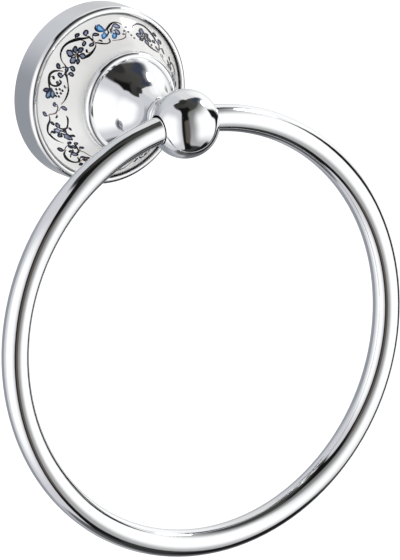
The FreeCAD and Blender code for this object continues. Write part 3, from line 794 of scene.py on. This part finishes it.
def smooth_line(controls: list[Vector], steps: int) -> list[Vector]:
    """Draw a curve through points.

    Args:
        controls: The points, of which there are at least two.
        steps: Pieces between two points.

    Returns:
        The points of the curve, from the first control to the last.
    """
    padded = [controls[0] * 2 - controls[1], *controls, controls[-1] * 2 - controls[-2]]
    line = []
    for index in range(1, len(padded) - 2):
        before, start, stop, after = padded[index - 1:index + 3]
        for step in range(steps):
            t = step / steps
            line.append(0.5 * (2 * start + (stop - before) * t
                               + (2 * before - 5 * start + 4 * stop - after) * t ** 2
                               + (3 * start - before - 3 * stop + after) * t ** 3))
    line.append(controls[-1].copy())
    return line


@dataclass(frozen=True)
class Panel:
    """A cloth of the light tent, by its edges in degrees.

    Azimuth is counted from the photographer to their right, as seen from the object, and
    elevation from the horizon. Lean is how the glow changes from the left edge to the right
    one and from the bottom to the top, and slant how much its edges rise per degree of azimuth.
    """

    name: str
    left: float
    right: float
    bottom: float
    top: float
    glow: float
    corner: float = 12.0
    feather: float = 5.0
    lean: Place = (0.0, 0.0)
    slant: float = 0.0
    tint: Colour = (1.0, 1.0, 1.0)

    def across(self, azimuth: float) -> float:
        """The azimuth from the panel's middle, within half a turn."""
        middle = (self.left + self.right) / 2
        return (azimuth - middle + 180.0) % 360.0 - 180.0

    def cover(self, azimuth: float, elevation: float) -> float:
        """Work out how much of the view in a direction the panel takes.

        Args:
            azimuth: The direction's azimuth.
            elevation: The direction's elevation.

        Returns:
            The share, from 0 to 1.
        """
        elevation -= self.slant * self.across(azimuth)
        half = Vector(((self.right - self.left) / 2, (self.top - self.bottom) / 2))
        corner = min(self.corner, half.x, half.y)
        past = Vector((abs(self.across(azimuth)) - half.x + corner,
                       abs(elevation - (self.top + self.bottom) / 2) - half.y + corner))
        outside = Vector((max(past.x, 0.0), max(past.y, 0.0))).length
        distance = outside + min(max(past.x, past.y), 0.0) - corner
        share = min(1.0, max(0.0, 0.5 - distance / self.feather))
        return share * share * (3 - 2 * share)

    def light(self, azimuth: float, elevation: float) -> Vector:
        """Work out the colour of the panel in a direction.

        Args:
            azimuth: The direction's azimuth.
            elevation: The direction's elevation.

        Returns:
            The linear colour, which is brighter than 1 where the cloth glows strongly.
        """
        sideways = self.across(azimuth) / (self.right - self.left)
        upright = (elevation - (self.top + self.bottom) / 2) / (self.top - self.bottom)
        sideways = min(0.5, max(-0.5, sideways))
        upright = min(0.5, max(-0.5, upright))
        glow = self.glow + self.lean[0] * sideways + self.lean[1] * upright
        return Vector(self.tint) * max(glow, 0.0)


TENT_PANELS: tuple[Panel, ...] = (
    Panel("back_cloth", 96, 196, -90, 90, 0.80, corner=0.0, feather=30.0),
    Panel("back_right", 118, 168, 0, 50, 1.0, corner=16.0, feather=16.0),
    Panel("left_shade", -178, -99, -62, 24, 0.34, feather=36.0, lean=(-0.03, 0.04),
          tint=(0.93, 0.98, 1.08)),
    Panel("floor_back", -180, 180, -120, -68, 0.12, corner=0.0, feather=12.0, tint=(0.97, 0.98, 1.0)),
    Panel("right_shade", 122, 186, -100, -14, 0.13, corner=12.0, feather=14.0, lean=(0.12, 0.30),
          tint=(0.97, 0.98, 1.05)),
    Panel("roof", -86, 134, 46, 120, 0.055, corner=8.0, feather=8.0, lean=(0.04, 0.0),
          tint=(1.0, 0.98, 0.93)),
    Panel("drape", 100, 136, 37, 64, 0.06, corner=6.0, feather=8.0, slant=-0.5, tint=(0.75, 0.92, 1.35)),
    Panel("zenith", -180, 180, 80, 120, 0.03, corner=0.0, feather=5.0),
    Panel("ground", -40, 140, -100, -58, 0.04, corner=0.0, feather=6.0, tint=(0.97, 0.98, 1.0)),
    Panel("gap", -30, 34, -76, 66, 0.008, corner=0.0, feather=6.0),
    Panel("doorway", 1, 24, -50, 24, 0.10, corner=8.0, feather=8.0, tint=(1.14, 0.97, 0.86)),
    Panel("left_box", -104, -9, -72, 61.5, 0.70, corner=14.0, feather=5.0, slant=-0.12,
          tint=(0.985, 0.985, 1.035)),
    Panel("left_glow", -80, -21, -50, 36, 1.15, corner=20.0, feather=26.0),
    Panel("right_box", 17, 122, -60, 50, 0.38, corner=12.0, feather=8.0, lean=(0.1, -0.26)),
    Panel("right_glow", 39, 150, -40, 34, 1.14, corner=20.0, feather=30.0),
    Panel("back_streak", 104, 160, 24, 36, 1.1, corner=8.0, feather=8.0, slant=-0.3),
    Panel("flag_arm", 100, 134, -6, 15, 0.010, corner=4.0, feather=5.0, slant=-0.7, tint=(0.9, 0.98, 1.2)),
    Panel("right_flag", 114, 144, -74, 0, 0.010, corner=8.0, feather=6.0),
    Panel("low_flag", 84, 136, -76, -45, 0.012, corner=10.0, feather=8.0),
)


@dataclass(frozen=True)
class Lamp:
    """A lamp by its direction from the object, its distance and width in metres and its power in watts."""

    name: str
    azimuth: float
    elevation: float
    distance: float
    size: float
    power: float
    mirrored: bool = False


LAMPS: tuple[Lamp, ...] = (
    Lamp("spot_lamp", 113.0, 36.0, 1.045, 0.28, 1.74, mirrored=True),
    Lamp("fill_front", -8.0, 22.0, 2.2, 1.4, 19.0),
    Lamp("key_right", 58.0, 34.0, 2.2, 1.4, 23.0),
    Lamp("fill_low", 20.0, -34.0, 2.2, 1.8, 66.0),
)


def add_object(name: str, data: bpy.types.ID) -> bpy.types.Object:
    """Put a mesh, a lamp or a camera into the scene.

    Args:
        name: The object's name.
        data: The mesh, lamp or camera.

    Returns:
        The new object.
    """
    item = bpy.data.objects.new(name, data)
    bpy.context.collection.objects.link(item)
    return item


@dataclass(frozen=True)
class Studio:
    """The light tent, the lamps and the pale floor."""

    heading: float
    tent_radius: float = 1.1
    tent_step: int = 2
    cloth: Colour = (0.65, 0.67, 0.70)
    dull_share: float = 0.4
    plain_level: float = 0.9
    floor_height: float = -1.2
    floor_size: float = 60.0
    floor_colour: Colour = (0.85, 0.85, 0.85)
    floor_lift: Colour = (0.35, 0.35, 0.35)

    def direction(self, azimuth: float, elevation: float) -> Vector:
        """Turn an azimuth and elevation of the tent into a way from the object.

        Args:
            azimuth: Degrees to the right of the photographer.
            elevation: Degrees over the horizon.

        Returns:
            The unit vector in the model's frame.
        """
        turn = math.radians(self.heading + azimuth)
        lift = math.radians(elevation)
        return Vector((math.sin(turn) * math.cos(lift), -math.cos(turn) * math.cos(lift), math.sin(lift)))

    def tent_light(self, azimuth: float, elevation: float) -> Vector:
        """Lay the panels over the tent's plain cloth in their order.

        Args:
            azimuth: Degrees to the right of the photographer.
            elevation: Degrees over the horizon.

        Returns:
            The linear colour that the tent shows there.
        """
        colour = Vector(self.cloth)
        for panel in TENT_PANELS:
            colour = colour.lerp(panel.light(azimuth, elevation), panel.cover(azimuth, elevation))
        return colour

    def build_tent(self) -> None:
        """Build the tent as a sphere that glows inwards and that only light and reflections meet."""
        columns, rows = 360 // self.tent_step, 180 // self.tent_step
        places, colours, faces = [], [], []
        for row in range(rows + 1):
            for column in range(columns):
                azimuth, elevation = column * self.tent_step - 180.0, row * self.tent_step - 90.0
                places.append(self.direction(azimuth, elevation) * self.tent_radius)
                colours.extend((*self.tent_light(azimuth, elevation), 1.0))
        for row in range(rows):
            for column in range(columns):
                after = (column + 1) % columns
                faces.append((row * columns + column, (row + 1) * columns + column,
                              (row + 1) * columns + after, row * columns + after))
        mesh = bpy.data.meshes.new("light_tent")
        mesh.from_pydata(places, [], faces)
        mesh.attributes.new("glow", "FLOAT_COLOR", "POINT").data.foreach_set("color", colours)
        mesh.materials.append(self.tent_cloth())
        tent = add_object("light_tent", mesh)
        tent.visible_camera = False
        tent.visible_shadow = False

    def one_sided(self, board: NodeBoard, front: bpy.types.Node) -> None:
        """Show a shader on the front of the faces and nothing on their back.

        Args:
            board: The material's nodes.
            front: The shader.
        """
        clear = board.add("ShaderNodeBsdfTransparent")
        side = board.add("ShaderNodeNewGeometry")
        mixer = board.add("ShaderNodeMixShader")
        board.join(side.outputs["Backfacing"], mixer.inputs["Fac"])
        board.join(front.outputs[0], mixer.inputs[1])
        board.join(clear.outputs[0], mixer.inputs[2])
        board.surface(mixer)

    def tent_cloth(self) -> bpy.types.Material:
        """Build the glowing cloth, clear from outside and weaker for dull surfaces, which the lamps light.

        Returns:
            The new material.
        """
        board = NodeBoard("tent_cloth")
        glow = board.add("ShaderNodeAttribute", attribute_name="glow")
        shine = board.add("ShaderNodeEmission")
        board.join(glow.outputs["Color"], shine.inputs["Color"])
        path = board.add("ShaderNodeLightPath")
        strength = board.add("ShaderNodeMapRange")
        strength.inputs["To Min"].default_value = 1.0
        strength.inputs["To Max"].default_value = self.dull_share
        board.join(path.outputs["Is Diffuse Ray"], strength.inputs["Value"])
        board.join(strength.outputs["Result"], shine.inputs["Strength"])
        self.one_sided(board, shine)
        board.material.cycles.emission_sampling = "NONE"
        return board.material

    def build_lamp(self, plan: Lamp) -> None:
        """Hang a lamp. The chrome mirrors only the small round one, the wide ones light the ceramic.

        Args:
            plan: The lamp's place, width and power.
        """
        data = bpy.data.lights.new(plan.name, "AREA")
        data.shape = "DISK" if plan.mirrored else "SQUARE"
        data.size = plan.size
        data.energy = plan.power
        lamp = add_object(plan.name, data)
        way = self.direction(plan.azimuth, plan.elevation)
        lamp.location = way * plan.distance
        lamp.rotation_mode = "QUATERNION"
        lamp.rotation_quaternion = way.to_track_quat("Z", "Y")
        lamp.visible_camera = False
        lamp.visible_glossy = plan.mirrored

    def build_floor(self) -> None:
        """Lay the pale floor, clear from below, and white to the camera apart from shadows."""
        half = self.floor_size / 2
        mesh = bpy.data.meshes.new("floor")
        corners = [(-half, -half, 0), (half, -half, 0), (half, half, 0), (-half, half, 0)]
        mesh.from_pydata(corners, [], [(0, 1, 2, 3)])
        board = NodeBoard("floor_pale")
        matt = board.add("ShaderNodeBsdfDiffuse")
        matt.inputs["Color"].default_value = (*self.floor_colour, 1.0)
        lift = board.add("ShaderNodeEmission")
        lift.inputs["Color"].default_value = (*self.floor_lift, 1.0)
        path = board.add("ShaderNodeLightPath")
        board.join(path.outputs["Is Camera Ray"], lift.inputs["Strength"])
        both = board.add("ShaderNodeAddShader")
        board.join(matt.outputs[0], both.inputs[0])
        board.join(lift.outputs[0], both.inputs[1])
        self.one_sided(board, both)
        mesh.materials.append(board.material)
        floor = add_object("floor", mesh)
        floor.location.z = self.floor_height
        floor.visible_glossy = False

    def build_world(self) -> None:
        """Make the world plain white to the camera, to metal and to glass, and a soft light elsewhere."""
        world = bpy.data.worlds.new("pale_world")
        bpy.context.scene.world = world
        world.use_nodes = True
        tree = world.node_tree
        background = tree.nodes["Background"]
        background.inputs["Color"].default_value = (1.0, 1.0, 1.0, 1.0)
        path = tree.nodes.new("ShaderNodeLightPath")
        level = None
        for ray in ("Is Camera Ray", "Is Glossy Ray", "Is Transmission Ray"):
            total = tree.nodes.new("ShaderNodeMath")
            total.use_clamp = True
            total.inputs[1].default_value = self.plain_level
            tree.links.new(path.outputs[ray], total.inputs[0])
            if level:
                tree.links.new(level.outputs[0], total.inputs[1])
            level = total
        tree.links.new(level.outputs[0], background.inputs["Strength"])

    def build(self) -> None:
        """Build the whole studio."""
        self.build_tent()
        for plan in LAMPS:
            self.build_lamp(plan)
        self.build_floor()
        self.build_world()


@dataclass(frozen=True)
class PhotoCamera:
    """The photograph's camera: a long lens from the front left and above."""

    place: tuple[float, float, float] = (-2.547076, -4.448475, 1.415762)
    yaw: float = 0.526295
    pitch: float = -0.282503
    roll: float = -0.081890
    focal_pixels: float = 15266.5
    picture_height: float = 560.0
    sensor: float = 36.0

    def build(self) -> None:
        """Add the camera and make it the scene's."""
        forward = Vector((math.sin(self.yaw) * math.cos(self.pitch),
                          math.cos(self.yaw) * math.cos(self.pitch), math.sin(self.pitch)))
        level = Vector((math.cos(self.yaw), -math.sin(self.yaw), 0.0))
        above = level.cross(forward)
        right = level * math.cos(self.roll) + above * math.sin(self.roll)
        up = above * math.cos(self.roll) - level * math.sin(self.roll)
        data = bpy.data.cameras.new("photo_camera")
        data.sensor_width = self.sensor
        data.lens = self.sensor * self.focal_pixels / self.picture_height
        data.clip_start = 0.5
        data.clip_end = 100.0
        camera = add_object("photo_camera", data)
        turn = Matrix((right, up, -forward)).transposed()
        camera.matrix_world = Matrix.Translation(self.place) @ turn.to_4x4()
        bpy.context.scene.camera = camera


def main() -> None:
    """Dress the towel ring and set up the studio and the camera."""
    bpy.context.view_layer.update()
    bpy.context.scene.view_settings.view_transform = "Standard"
    for group in (WallCup(), PaintedRose(), BellPost(), BallAndRing()):
        group.build()
    camera = PhotoCamera()
    camera.build()
    Studio(heading=-math.degrees(camera.yaw)).build()
    LOG.info("studio and camera ready")


if __name__ == "__main__":
    main()
